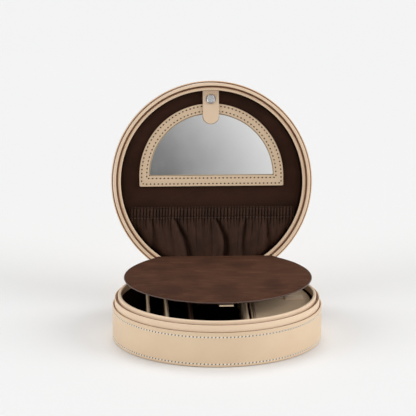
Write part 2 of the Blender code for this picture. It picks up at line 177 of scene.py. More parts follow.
def suede(name, nap, worn, deep, streak=(42, 9), bloom=0.35, contrast=1.0):
    # split leather raised with emery: matt short nap with a pale bloom at its edges and brushed streaks
    made, tree, shader = newMaterial(
        name, Roughness=0.96, Sheen_Weight=bloom, Sheen_Roughness=0.5, Specular_IOR_Level=0.12
    )
    shader.inputs["Sheen Tint"].default_value = hexColour(worn)
    where = ownSpace(tree)
    brushed = addNode(tree, "ShaderNodeMapping", {"Vector": where, "Scale": (streak[1] / streak[0],
                                                                             1, 1)}).outputs[0]
    strokes = fineNoise(tree, brushed, streak[1], 5, 0.6)
    clouds = fineNoise(tree, where, 30, 3)
    fibres = fineNoise(tree, where, 0.45, 2)
    light = spread(tree, strokes, 0.5, 0.72, 0, 0.8 * contrast)
    dark = spread(tree, clouds, 0.42, 0.65, 0, 0.55 * contrast)
    colour = blendColours(tree, light, nap, worn)
    colour = blendColours(tree, dark, colour, deep)
    speckle = spread(tree, fibres, 0.35, 0.7, 0, 0.35)
    colour = blendColours(tree, speckle, colour, deep)
    tree.links.new(colour, shader.inputs["Base Color"])
    height = addNode(tree, "ShaderNodeMath", {0: strokes, 1: 0.5, 2: fibres},
                     operation="MULTIPLY_ADD").outputs[0]
    bumped(tree, shader, height, 0.18, 0.9)
    return made


def burnishedEdge():
    # cut leather edge, dyed and burnished with wax: warm brown, a soft gloss, faint layered fibres
    made, tree, shader = newMaterial("burnishedLeatherEdge", Roughness=0.42, Coat_Weight=0.15,
                                     Coat_Roughness=0.3)
    where = ownSpace(tree)
    patches = spread(tree, fineNoise(tree, where, 6, 4), 0.3, 0.7)
    colour = blendColours(tree, patches, "#6B3F24", "#94613C")
    tree.links.new(colour, shader.inputs["Base Color"])
    fibres = fineNoise(tree, where, 0.5, 4)
    bumped(tree, shader, fibres, 0.08, 0.7)
    return made


def waxedThread(name, colour, shade):
    # twisted polyester thread, waxed: fine slanting ply lines and a slight shine
    made, tree, shader = newMaterial(name, Roughness=0.5, Sheen_Weight=0.2)
    where = ownSpace(tree)
    ply = addNode(
        tree, "ShaderNodeTexWave", {"Vector": where, "Scale": 1 / (1.1 * mm), "Distortion": 1.5},
        bands_direction="DIAGONAL",
    ).outputs["Fac"]
    tree.links.new(blendColours(tree, ply, shade, colour), shader.inputs["Base Color"])
    bumped(tree, shader, ply, 0.1, 0.6)
    return made


def needleHoleShade():
    # the awl's hole in the hide: one dark colour for its bare fibre and the painted shade inside the hole, no
    # shine
    made, tree, shader = newMaterial("needleHolePaintedShadeAndFibre", Roughness=0.95)
    where = ownSpace(tree)
    fibre = fineNoise(tree, where, 0.5)
    tree.links.new(
        blendColours(tree, fibre, "#2B180E", "#573824"), shader.inputs["Base Color"]
    )
    return made


def pocketTwill():
    # brushed polyester twill, gathered: fine diagonal rib, matt with a faint sheen on the folds
    made, tree, shader = newMaterial(
        "brushedPolyesterTwill", Roughness=0.8, Sheen_Weight=0.15, Sheen_Roughness=0.4, Specular_IOR_Level=0.2
    )
    shader.inputs["Sheen Tint"].default_value = hexColour("#7A5A4A")
    where = ownSpace(tree)
    rib = addNode(
        tree, "ShaderNodeTexWave", {"Vector": where, "Scale": 1 / (2.4 * mm), "Distortion": 0.6,
                                    "Detail": 1.0},
        bands_direction="DIAGONAL",
    ).outputs["Fac"]
    wear = spread(tree, fineNoise(tree, where, 14, 4), 0.35, 0.7)
    colour = blendColours(tree, wear, "#3A261C", "#4A3226")
    colour = blendColours(tree, spread(tree, rib, 0, 1, 0, 0.22), colour, "#1F1410")
    tree.links.new(colour, shader.inputs["Base Color"])
    bumped(tree, shader, rib, 0.07, 0.5)
    return made


def silveredGlass():
    # float glass silvered behind: a sharp reflection with a breath of haze
    made, tree, shader = newMaterial("silveredFloatGlass", Metallic=1.0)
    where = ownSpace(tree)
    haze = fineNoise(tree, where, 22, 2)
    tree.links.new(spread(tree, haze, 0.3, 0.7, 0.03, 0.07), shader.inputs["Roughness"])
    tint = blendColours(tree, haze, "#EDEEED", "#F3F4F3")
    tree.links.new(tint, shader.inputs["Base Color"])
    return made


def satinNickel(name, roughness=0.24):
    # brass snap plated with satin nickel: neutral bright metal with fine turning marks
    made, tree, shader = newMaterial(name, Metallic=1.0)
    where = ownSpace(tree)
    marks = fineNoise(tree, where, 0.6, 3)
    tree.links.new(spread(tree, marks, 0.3, 0.7, roughness - 0.06, roughness + 0.1),
                   shader.inputs["Roughness"])
    tree.links.new(blendColours(tree, marks, "#B9BABB", "#D3D3D4"), shader.inputs["Base Color"])
    bumped(tree, shader, marks, 0.02, 0.4)
    return made


def greyboard():
    # pressed paper board: dull, flecked with darker pulp
    made, tree, shader = newMaterial("pressedGreyboard", Roughness=0.9)
    where = ownSpace(tree)
    pulp = spread(tree, fineNoise(tree, where, 0.9, 5), 0.35, 0.7)
    tree.links.new(blendColours(tree, pulp, "#948778", "#766A5D"), shader.inputs["Base Color"])
    bumped(tree, shader, pulp, 0.05, 0.5)
    return made


creamCalf = calfLeather("creamCalfLeather", "#E3C9A9", "#DABC9B")
# a smoother copy of the cream calf whose colour is painted lighter: painted light that makes up for the shade
# of the cover and lid over the rings; the strap and pull tabs share it
creamCalfSmoothPaintedLighter = calfLeather("creamCalfPlatedPaintedLighter", "#EDD2B4", "#E2C6A5", grain=0.6, depth=0.03,
                              satin=0.42)
edgeWax = burnishedEdge()
coverSuede = suede("cocoaSuedeBrushed", "#513324", "#63422F", "#382118", streak=(24, 6), bloom=0.1,
                   contrast=1.2)
liningSuede = suede("darkCocoaSuede", "#40291F", "#4E3528", "#2E1E16", streak=(60, 24), bloom=0.1,
                    contrast=0.7)
traySuede = suede("blackCocoaSuede", "#261A14", "#3A281E", "#1B120D", streak=(40, 20), bloom=0.15,
                  contrast=0.6)
taupeSuede = suede("taupeSuede", "#DDC2A2", "#E6D0B2", "#C4A88A", streak=(36, 12), bloom=0.3,
                   contrast=0.6)
pocketCloth = pocketTwill()
whiteThread = waxedThread("whiteWaxedThread", "#FBF6EC", "#DFD2BE")
creamThread = waxedThread("creamWaxedThread", "#E6CFAF", "#C9AE8B")
brownThread = waxedThread("brownWaxedThread", "#5A4034", "#3A261D")
taupeThread = waxedThread("taupeWaxedThread", "#A58B6E", "#7E6850")
# dark beads at the needle holes: bare fibre and painted shade in the holes
holeShadeAndFibre = needleHoleShade()
mirrorSilver = silveredGlass()
nickel = satinNickel("satinNickelPlate")
board = greyboard()
print("materials mixed")


def piece(name, mesh, material, place, body=None, stands=(), sharp=40):
    # a mesh drawn in millimetres in its body's frame becomes a named piece that rides on the body
    bmesh.ops.recalc_face_normals(mesh, faces=mesh.faces)
    bmesh.ops.scale(mesh, vec=(mm, mm, mm), verts=mesh.verts)
    data = bpy.data.meshes.new(name)
    mesh.to_mesh(data)
    mesh.free()
    data.shade_smooth()
    data.set_sharp_from_angle(angle=radians(sharp))
    data.materials.append(material)
    made = bpy.data.objects.new(name, data)
    bpy.context.scene.collection.objects.link(made)
    made.matrix_world = place
    if body:
        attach(made, body)
    if stands:
        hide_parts(*stands)
    return made


def showBoard(*nodes):
    # these nodes are seen as the CAD draws them, in greyboard
    for node in nodes:
        frame["nodes"][node].data.materials.clear()
        frame["nodes"][node].data.materials.append(board)


def uprightStrip(s):
    # the middle surface of a node that stands across the case
    def surface(u, v):
        return Vector((s.x0 + (s.x1 - s.x0) * u, (s.y0 + s.y1) / 2, s.z0 + (s.z1 - s.z0) * v))

    return surface


def arc(radius, start, end, steps, x=0.0, y=0.0):
    turns = [radians(start + (end - start) * i / steps) for i in range(steps + 1)]
    return [(x + radius * cos(t), y + radius * sin(t)) for t in turns]


def circle(radius, steps=240):
    return lambda inset: arc(radius - inset, 0, 360, steps)[:-1]


def shrinking(outline):
    # the same outline drawn in towards its middle by an inset
    middle = Vector((sum(x for x, y in outline) / len(outline),
                     sum(y for x, y in outline) / len(outline)))
    typical = sum((Vector(p) - middle).length for p in outline) / len(outline)
    return lambda inset: [tuple(middle + (Vector(p) - middle) * (1 - inset / typical)) for p in outline]


def joinLoops(mesh, loops, closed=False):
    # faces between each loop of vertices and the next; closed joins the last to the first
    pairs = list(zip(loops, loops[1:]))
    if closed:
        pairs.append((loops[-1], loops[0]))
    for a, b in pairs:
        for i in range(len(a)):
            mesh.faces.new((a[i - 1], a[i], b[i], b[i - 1]))


def swept(outlineAt, section, closed=True):
    # carries a section of (inset, height) points round an outline; an open one is closed by a fan at each end
    mesh = bmesh.new()
    loops = [[mesh.verts.new((x, y, z)) for x, y in outlineAt(inset)] for inset, z in section]
    joinLoops(mesh, loops, closed)
    if not closed:
        for loop in (loops[0], loops[-1]):
            middle = mesh.verts.new(sum((v.co for v in loop), Vector()) / len(loop))
            for i in range(len(loop)):
                mesh.faces.new((loop[i - 1], loop[i], middle))
    return mesh


def rolledSection(inset0, inset1, low, high, rolls, steps=4):
    # a four-sided section with rolled corners: outer bottom, inner bottom, inner top, outer top
    corners = [(inset0, low, 180), (inset1, low, 270), (inset1, high, 0), (inset0, high, 90)]
    points = []
    for (across, height, start), roll in zip(corners, rolls):
        middleX = across + (roll if across == inset0 else -roll)
        middleZ = height + (roll if height == low else -roll)
        points += arc(roll, start, start + 90, steps, middleX, middleZ)
    return points


def skin(name, surface, columns, rows, thick, material, place, body=None, stands=(),
         soften=0.25):
    # a strip of hide or cloth: surface(u, v) is its middle, in millimetres
    mesh = bmesh.new()
    grid = [[mesh.verts.new(surface(i / columns,
                                    j / rows)) for i in range(columns + 1)] for j in range(rows + 1)]
    for low, high in zip(grid, grid[1:]):
        for i in range(columns):
            mesh.faces.new((low[i], low[i + 1], high[i + 1], high[i]))
    made = piece(name, mesh, material, place, body, stands)
    solid = made.modifiers.new("hideThickness", "SOLIDIFY")
    solid.thickness = thick * mm
    solid.offset = 0
    if soften:
        edge = made.modifiers.new("rolledEdge", "BEVEL")
        edge.width = soften * mm
        edge.segments = 2
        edge.limit_method = "ANGLE"
        edge.angle_limit = radians(50)
    return made


def walk(line, pitch):
    # points and directions at an even pitch round a closed line
    points = [Vector(p) for p in line]
    sides = [(points[i - 1], points[i]) for i in range(len(points))]
    total = sum((b - a).length for a, b in sides)
    count = round(total / pitch)
    spots, travelled, target = [], 0.0, 0.0
    for a, b in sides:
        length = (b - a).length
        while target < travelled + length and len(spots) < count:
            share = (target - travelled) / length
            spots.append((a.lerp(b, share), (b - a).normalized()))
            target += total / count
        travelled += length
    return spots


def beads(name, spots, size, fineness, material, place, body):
    # one small rounded grain at each spot: (point, along, outward)
    mesh = bmesh.new()
    for point, along, outward in spots:
        across = outward.cross(along)
        turn = Matrix((along * size[0], across * size[1], outward * size[2])).transposed().to_4x4()
        bmesh.ops.create_icosphere(
            mesh, subdivisions=fineness, radius=0.5, matrix=Matrix.Translation(point) @ turn
        )
    return piece(name, mesh, material, place, body)


def stitching(name, line, outwardAt, look, thread, place, body):
    # slanting stitches along a closed line, with a needle hole between each two: a dark bead whose colour is
    # painted shade in the hole
    spots = walk(line, look["pitch"])
    threads, holeShades = [], []
    for i, (point, along) in enumerate(spots):
        outward = outwardAt(point)
        slant = Matrix.Rotation(radians(look["slant"]), 3, outward)
        threads.append((point + outward * look["rise"], slant @ along, outward))
        after = spots[(i + 1) % len(spots)][0]
        holeShades.append(((point + after) / 2, along, outwardAt((point + after) / 2)))
    beads(name, threads, look["stitch"], 2, thread, place, body)
    beads(name + "HoleShades", holeShades, look["hole"], 1, holeShadeAndFibre, place, body)


def puff(made, cap, seamVerts, frames=12):
    # fills a pad by cloth simulation: pressure inside, seam held, movement capped, then one subdivision
    rest = [v.co.copy() for v in made.data.vertices]
    seam = made.vertex_groups.new(name="seam")
    seam.add(seamVerts, 1.0, "REPLACE")
    filling = made.modifiers.new("filling", "CLOTH")
    filling.settings.use_pressure = True
    filling.settings.uniform_pressure_force = 4
    filling.settings.vertex_group_mass = "seam"
    filling.settings.effector_weights.gravity = 0
    filling.point_cache.frame_end = frames
    for step in range(1, frames + 1):
        bpy.context.scene.frame_set(step)
    shown = made.evaluated_get(bpy.context.evaluated_depsgraph_get())
    moved = [v.co.copy() for v in shown.data.vertices]
    made.modifiers.remove(filling)
    bpy.context.scene.frame_set(1)
    for vertex, old, new in zip(made.data.vertices, rest, moved):
        shift = new - old
        if shift.length > cap * mm:
            shift *= cap * mm / shift.length
        vertex.co = old + shift
    smooth = made.modifiers.new("softSkin", "SUBSURF")
    smooth.levels = 1
    smooth.render_levels = 1


def padSection(low, high, roll, crown, reach, groove=None):
    # an open section of (inset, height) points: middle of the underside, round the seam, middle of the top
    middle = (low + high) / 2
    half = (high - low) / 2
    insets = [roll * (1 - cos(radians(a))) for a in (0, 20, 40, 60, 78)]
    insets += [roll * 1.5, roll * 2 + 0.4, roll * 2 + 1.0, roll * 2 + 2.0]
    while insets[-1] < reach * 0.93:
        insets.append(insets[-1] + 3.2)

    def rise(inset):
        rolled = min(inset / roll, 1)
        height = half * sqrt(1 - (1 - rolled) ** 2)
        if groove and inset > roll:
            height -= groove * exp(-(((inset - roll * 2 - 0.4) / 0.6) ** 2))
        return height

    top = [(a, middle + rise(a) + crown * min(a / 14, 1) ** 0.6) for a in insets]
    under = [(a, middle - rise(a)) for a in insets[1:]]
    return list(reversed(under)) + top, len(under)


def pad(name, outline, low, high, look, material, place, body, stands):
    # a stuffed piece: two suede faces meeting in a seam
    outlineAt = shrinking(outline)
    typical = sum(Vector(p).length for p in outline) / len(outline)
    section, seamRow = padSection(low, high, look["roll"], look["crown"], typical,
                                  look.get("groove"))
    mesh = swept(outlineAt, section, closed=False)
    for v in mesh.verts:
        soft = noise.noise(Vector((v.co.x / 21, v.co.y / 21,
                                   3.0 if v.co.z > (low + high) / 2 else 9.0)))
        v.co.z += look["sag"] * soft
    count = len(outline)
    made = piece(name, mesh, material, place, body, stands, sharp=60)
    puff(made, look["cap"], list(range(seamRow * count, (seamRow + 1) * count)))


# the stitched round walls, the same for base and lid: heights run towards the rim
wallStitch = {"pitch": 3.5, "slant": 14, "stitch": (2.7, 1.5, 1.0), "hole": (1.4, 1.6, 0.6),
              "rise": 0.1}
wallLook = {"groove": 0.28, "grooveWidth": 1.3, "rowFromEdge": 4.4, "rowFromCorner": 2.9,
            "edgeBead": 0.22}


def radialOutward(point):
    return Vector((point.x, point.y, 0)).normalized()


def buildWalls(body, place, nodes):
    wall = sizes(nodes["wall"], place)
    thick = wall.outer - wall.inner
    rows = (wall.z0 + wallLook["rowFromCorner"], wall.z1 - wallLook["rowFromEdge"])
    section = rolledSection(0, thick, wall.z0, wall.z1, (1.3, 0.3, 0.3, 0.35))
    outside = [(0, wall.z1 - 0.6)]
    for row in reversed(rows):
        width = wallLook["grooveWidth"]
        for share, deep in ((1, 0), (0.5, 0.7), (0, 1), (-0.5, 0.7), (-1, 0)):
            outside.append((deep * wallLook["groove"], row + share * width))
    piece(body + "StitchedWall", swept(circle(wall.outer), section + outside), creamCalf, place,
          body,
          [nodes["wall"]])
    for name, row in zip(("LowerRow", "UpperRow"), rows):
        line = [(x, y, row) for x, y in circle(wall.outer - wallLook["groove"])(0)]
        stitching(body + "Wall" + name, line, radialOutward, wallStitch, whiteThread, place, body)
    bead = wallLook["edgeBead"]
    edge = rolledSection(0.7, thick - 0.05, wall.z1 - 0.7, wall.z1 + bead, (0.2, 0.2, 0.4, 0.4))
    piece(body + "WallEdge", swept(circle(wall.outer), edge), edgeWax, place, body)
    for key, name, drop, rolls, material, slot in (
        ("rim", "RimBand", 0, (0.2, 0.2, 0.45, 0.5), creamCalfSmoothPaintedLighter, "cream_leather"),
        ("edge", "BurnishedRing", 0.1, (0.2, 0.2, 0.6, 0.6), edgeWax, "raw_leather_edge"),
        ("ring", "InnerRing", 0, (0.3, 0.3, 1.1, 1.1), creamCalfSmoothPaintedLighter, "cream_leather"),
        ("lining", "SuedeWall", 0, (0.2, 0.2, 0.2, 0.2), nodes["suede"], "brown_suede"),
    ):
        ring = sizes(nodes[key], place)
        section = rolledSection(0, ring.outer - ring.inner, ring.z0, ring.z1 - drop, rolls)
        piece(body + name, swept(circle(ring.outer), section), material, place, body, [nodes[key]])
    skinDisc = sizes(nodes["bottom"], place)
    puffed = [(60, skinDisc.z0), (1.2, skinDisc.z0), (0.4, skinDisc.z0 + 0.2),
              (0, skinDisc.z0 + 0.6)]
    puffed += [(0.2, skinDisc.z1 - 0.1), (1, skinDisc.z1), (60, skinDisc.z1)]
    piece(body + "EndHide", swept(circle(skinDisc.outer), puffed, closed=False), creamCalf, place,
          body,
          [nodes["bottom"]])
    showBoard(*nodes["boards"])


buildWalls("base", basePlace, {
    "wall": "base_wall_leather", "rim": "base_rim_band", "edge": "base_edge_ring", "ring": "base_inner_ring",
    "lining": "base_lining_wall", "bottom": "base_bottom_leather", "suede": traySuede,
    "boards": ("base_wall_board", "base_bottom_board"),
})
buildWalls("lid", lidPlace, {
    "wall": "lid_wall_leather", "rim": "lid_rim_band", "edge": "lid_edge_ring", "ring": "lid_inner_ring",
    "lining": "lid_lining_wall", "bottom": "lid_top_leather", "suede": liningSuede,
    "boards": ("lid_wall_board", "lid_top_board"),
})
print("walls stitched")


# the tray: suede floor, wrapped dividers, the tub and its padded lid
dividerLook = {"wave": 0.35, "waveLength": 34}
floorLook = {"sag": 0.25}
tubLook = {"wall": 1.6, "floor": 1.3}
tubLidLook = {"roll": 1.2, "crown": 0.25, "sag": 0.12, "cap": 0.3}


def buildFloor():
    floorSize = sizes("base_lining_floor")
    section = [(80, floorSize.z0), (0, floorSize.z0), (0, floorSize.z1 - 0.5), (0.5, floorSize.z1)]
    section += [(a, floorSize.z1) for a in range(4, 88, 4)]
    mesh = swept(circle(floorSize.outer - 0.2, 120), section, closed=False)
    for v in mesh.verts:
        if v.co.z > floorSize.z1 - 0.1:
            v.co.z += floorLook["sag"] * (noise.noise(v.co / 18) - 0.5)
    piece("trayFloorSuede", mesh, traySuede, basePlace, "base", ["base_lining_floor"])


def buildDivider(node, material):
    # a thin board wrapped in suede: rolled top, ends tucked against the wall, never quite straight
    s = sizes(node)
    half = (s.x1 - s.x0) / 2
    centre = (s.x0 + s.x1) / 2
    profile = [(-half, s.z0), (half, s.z0)] + arc(half, 0, 180, 10, 0, s.z1 - half)
    mesh = bmesh.new()
    steps = 48
    loops = []
    for i in range(steps + 1):
        y = s.y0 + (s.y1 - s.y0) * i / steps
        ends = min(1.0, min(y - s.y0, s.y1 - y) / 1.5)
        narrow = 0.55 + 0.45 * sqrt(ends)
        wave = dividerLook["wave"] * noise.noise(Vector((centre, y / dividerLook["waveLength"], 0)))
        loops.append([mesh.verts.new((centre + wave + x * narrow, y,
                                      z - 0.8 * (1 - sqrt(ends)))) for x, z in profile])
    joinLoops(mesh, loops)
    mesh.faces.new(loops[0])
    mesh.faces.new(loops[-1])
    piece(camel(node), mesh, material, basePlace, "base", [node])


def camel(node):
    first, *rest = node.split("_")
    return first + "".join(word.capitalize() for word in rest) + "Wrapped"


def segment(radius, left, steps=72, corner=1.2):
    # the part of a circle right of a straight line, its two corners rounded
    reach = degrees(acos(left / radius))
    turn = 2.4
    curve = arc(radius, -reach + turn, reach - turn, steps)
    high = radius * sin(radians(reach)) - corner * 2.2
    fill = [(left, high + (-high - high) * i / 24) for i in range(25)]
    return curve + fill


def buildTub():
    tub = sizes("tub")
    wall, floor = tubLook["wall"], tub.z0 + tubLook["floor"]
    outer = segment(tub.outer, tub.x0)
    section = [(30, tub.z0), (1, tub.z0), (0, tub.z0 + 1), (0, tub.z1 - 0.8), (0.3, tub.z1 - 0.2),
               (wall / 2, tub.z1)]
    section += [(wall - 0.3, tub.z1 - 0.2), (wall, tub.z1 - 0.8), (wall, tub.z0 + 2.4),
                (wall + 1.2, floor), (30, floor)]
    piece("tubSuede", swept(shrinking(outer), section, closed=False), taupeSuede, basePlace, "base",
          ["tub"])
    top = sizes("tub_lid_suede")
    under = sizes("tub_lid_board")
    lidOutline = segment(top.outer, top.x0)
    pad("tubLidPad", lidOutline, under.z0, top.z1, tubLidLook, taupeSuede, basePlace, "tub_lid",
        ["tub_lid_suede", "tub_lid_board"])
    rod = sizes("tub_lid_piping")
    radius = (rod.x1 - rod.x0) / 2
    line = [(rod.x0 + radius, rod.y0 + (rod.y1 - rod.y0) * i / 40,
             (rod.z0 + rod.z1) / 2) for i in range(41)]
    piece("tubLidPiping", tube(line, radius), taupeSuede, basePlace, "tub_lid", ["tub_lid_piping"])
    second = [(x + 3.3, y * 0.985, top.z1 + 0.1) for x, y, z in line]
    piece("tubLidTopstitch", tube(second, 0.35), taupeThread, basePlace, "tub_lid")


def tube(line, radius, sides=12, closed=False):
    # a round cord along a line of points
    mesh = bmesh.new()
    points = [Vector(p) for p in line]
    loops = []
    for i, point in enumerate(points):
        before = points[i - 1] if i or closed else point
        after = points[(i + 1) % len(points)] if closed or i + 1 < len(points) else point
        along = (after - before).normalized()
        side = along.cross(Vector((0, 0, 1))).normalized()
        up = side.cross(along)
        size = radius if closed or 0 < i < len(points) - 1 else radius * 0.6
        turns = [2 * pi * k / sides for k in range(sides)]
        loops.append([mesh.verts.new(point + (side * cos(t) + up * sin(t)) * size) for t in turns])
    if not closed:
        mesh.faces.new(loops[0])
        mesh.faces.new(loops[-1])
    joinLoops(mesh, loops, closed)
    return mesh


tabLook = {"thick": 0.8, "fold": 0.12, "gape": 0.42, "taper": 0.04}


def buildTab(name, node, place, body, alongX):
    # a folded leather pull: a flat loop whose fold stands a little open at its free end
    s = sizes(node, place)
    middle = (s.z0 + s.z1) / 2
    if alongX:
        length, width, start = s.x1 - s.x0, s.y1 - s.y0, Vector((s.x0, (s.y0 + s.y1) / 2, middle))
        along, across = Vector((1, 0, 0)), Vector((0, 1, 0))
    else:
        length, width, start = s.y1 - s.y0, s.x1 - s.x0, Vector(((s.x0 + s.x1) / 2, s.y1, middle))
        along, across = Vector((0, -1, 0)), Vector((1, 0, 0))
    half = (s.z1 - s.z0) / 2
    fold = tabLook["fold"]

    def surface(u, v):
        # out along the upper leaf, round the fold and back along the lower one
        path = v * 2 - 1
        reach = length - half * 1.2
        if abs(path) > fold:
            out = reach * (1 - (abs(path) - fold) / (1 - fold))
            height = half * tabLook["gape"] * (1 if path > 0 else -1)
        else:
            turn = path / fold * pi / 2
            out = reach + half * 0.75 * cos(turn)
            height = half * 0.5 * sin(turn)
        sideways = (u - 0.5) * width * (1 - tabLook["taper"] * (out / length) ** 3)
        return start + along * out + across * sideways + Vector((0, 0, height))

    skin(name, surface, 10, 44, half * tabLook["thick"], creamCalfSmoothPaintedLighter, place, body, [node],
         soften=0.15)


buildFloor()
for node, material, slot in (
    ("divider_left", taupeSuede, "taupe_suede"),
    ("divider_middle", taupeSuede, "taupe_suede"),
    ("divider_centre", liningSuede, "brown_suede"),
    ("divider_right", taupeSuede, "taupe_suede"),
):
    buildDivider(node, material)
buildTub()
buildTab("tubPullTab", "tub_pull_tab", basePlace, "tub_tab", True)
print("tray lined")


# the floating cover: a thin suede pad on a suede hinge of leaf and spine
coverLook = {
    "roll": 1.45, "crown": 0.12, "sag": 0.18, "cap": 0.3, "groove": 0.3, "cord": 0.5,
    "lift": 0.55,  # keeps the soft underside off the dividers when the case is shut
}


def buildCover():
    top = sizes("cover_top_suede", coverPlace)
    under = sizes("cover_under_suede", coverPlace)
    radius = (top.x1 - top.x0) / 2
    middle = (top.x0 + top.x1) / 2
    reach = degrees(asin(top.y1 / radius))
    curve = arc(radius, 180 - reach + 1.5, 360 + reach - 1.5, 120, middle, 0)
    rear = [(curve[-1][0] + (curve[0][0] - curve[-1][0]) * (i + 0.3) / 40.6,
             top.y1) for i in range(41)]
    outline = curve + rear
    low = under.z0 + coverLook["lift"]
    pad("coverPad", outline, low, top.z1, coverLook, coverSuede, coverPlace, "cover",
        ["cover_top_suede", "cover_under_suede"])
    seam = (top.z1 + low) / 2
    line = [(x, y, seam) for x, y in shrinking(outline)(0.15)]
    piece("coverSeamCord", tube(line, coverLook["cord"], 8, closed=True), brownThread, coverPlace,
          "cover")
    showBoard("cover_board")
    buildTab("coverPullTab", "cover_pull_tab", coverPlace, "cover_tab", False)


def buildCoverHinge():
    spine = sizes("cover_spine", coverPlace)
    middle = (spine.z0 + spine.z1) / 2
    half = (spine.z1 - spine.z0) / 2

    def bar(u, v):
        y = spine.y0 + (spine.y1 - spine.y0) * v
        x = (u - 0.5) * (spine.x1 - spine.x0 - 7 * v) + (spine.x0 + spine.x1) / 2
        return Vector((x, y, middle))

    skin("coverSpineWrapped", bar, 40, 4, half * 2, coverSuede, coverPlace, "cover_spine",
         ["cover_spine"],
         soften=1.2)
    leaf = sizes("cover_leaf", leafPlace)
    level = (leaf.z0 + leaf.z1) / 2

    def tongue(u, v):
        y = leaf.y1 + (leaf.y0 - leaf.y1) * v
        wide = 32 + (leaf.x1 - leaf.x0 - 32) * v
        return Vector(((u - 0.5) * wide, y, level + 0.25 * noise.noise(Vector((u * 5, v * 2, 1)))))

    skin("coverLeafSuede", tongue, 48, 12, leaf.z1 - leaf.z0, coverSuede, leafPlace, "cover_leaf",
         ["cover_leaf"],
         soften=0.4)
    anchor = sizes("cover_anchor")
    skin("coverAnchorSuede", uprightStrip(anchor), 16, 8, anchor.y1 - anchor.y0, coverSuede,
         basePlace, "base",
         ["cover_anchor"], soften=0.3)
    fold("anchorFold", [(0, leafAxis.y / mm, anchor.z1 - 1.5), (0, leafAxis.y / mm,
                                                                leafAxis.z / mm)],
         basePlace, leafPlace, [(0, leaf.y1 + 1, level), (0, leaf.y1 - 1.2, level)], 15.8, 16.2,
         "base", "cover_leaf")
    fold("spineFold", [(0, leaf.y0 + 1.4, level), (0, leaf.y0, level)], leafPlace, coverPlace,
         [(0, spine.y1 + 0.5, middle),
          (0, spine.y1 - 1, middle)], 48, 50, "cover_leaf", "cover_spine")
    top = spine.z1 - 0.35
    cover = sizes("cover_top_suede", coverPlace)
    fold("coverFold", [(0, spine.y0 + 1.6, top), (0, spine.y0 + 0.2, top)], coverPlace, coverPlace,
         [(0, cover.y1 - 0.2, top), (0, cover.y1 - 1.6, top)], 56, 58, "cover_spine", "cover")


def fold(name, firstPoints, firstPlace, secondPlace, secondPoints, half0, half1, bodyA, bodyB):
    # a suede fold that bends where two boards meet
    path = [firstPlace @ (Vector(p) * mm) / mm for p in firstPoints]
    path += [secondPlace @ (Vector(p) * mm) / mm for p in secondPoints]

    def surface(u, v):
        along = v * (len(path) - 1)
        i = min(int(along), len(path) - 2)
        point = path[i].lerp(path[i + 1], along - i)
        return Vector(((u - 0.5) * 2 * (half0 + (half1 - half0) * v), point.y, point.z))

    made = skin(name, surface, 32, 15, 0.8, coverSuede, basePlace, soften=0)
    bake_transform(made)


buildCover()
buildCoverHinge()
print("cover padded")


# inside the lid: padded suede panel, piped edge, mirror in its stitched frame, strap with press snap
panelLook = {"roll": 2.2, "crown": 0.15, "sag": 0.3, "cap": 0.35, "piping": 0.75}
mirrorLook = {"corner": 1.5, "rowInset": 2.3, "roll": 0.5}
mirrorStitch = {"pitch": 3.9, "slant": 0, "stitch": (2.3, 0.6, 0.4), "hole": (2.0, 1.9, 0.6),
                "rise": 0.0}


def forward(point):
    return Vector((0, 0, 1))


def buildPanel():
    panel = sizes("lid_lining_panel", lidPlace)
    pad("lidPanelPad", circle(panel.outer - 0.1, 132)(0), panel.z0, panel.z1, panelLook,
        liningSuede, lidPlace,
        "lid", ["lid_lining_panel"])
    lining = sizes("lid_lining_wall", lidPlace)
    radius = panelLook["piping"]
    line = [(x, y, lining.z1 + radius * 0.6) for x, y in circle(lining.inner - radius * 0.4)(0)]
    piece("lidLiningPiping", tube(line, radius, 8, closed=True), liningSuede, lidPlace, "lid")
    tray = sizes("base_lining_wall")
    line = [(x, y, tray.z1 + 0.6) for x, y in circle(tray.inner - 0.1)(0)]
    piece("trayLiningPiping", tube(line, 0.5, 8, closed=True), traySuede, basePlace, "base")


def mirrorShape(size, centre, steps=96):
    # a half round with a short straight skirt; an inset keeps every side's distance
    corner = mirrorLook["corner"]

    def outline(inset):
        radius = (size.x1 - size.x0) / 2 - inset
        bottom = size.y0 + inset
        turn = max(corner - inset, 0.3)
        cut = max(0.0, bottom + turn - centre)
        side = sqrt(radius * radius - cut * cut) - turn
        start = degrees(asin(cut / radius))
        points = arc(radius, start, 180 - start, steps, 0, centre)
        points += arc(turn, 180, 270, 4, -side, bottom + turn)[1:]
        points += [(-side + 2 * side * i / 40, bottom) for i in range(1, 40)]
        points += arc(turn, 270, 360, 4, side, bottom + turn)[:-1]
        return points

    return outline


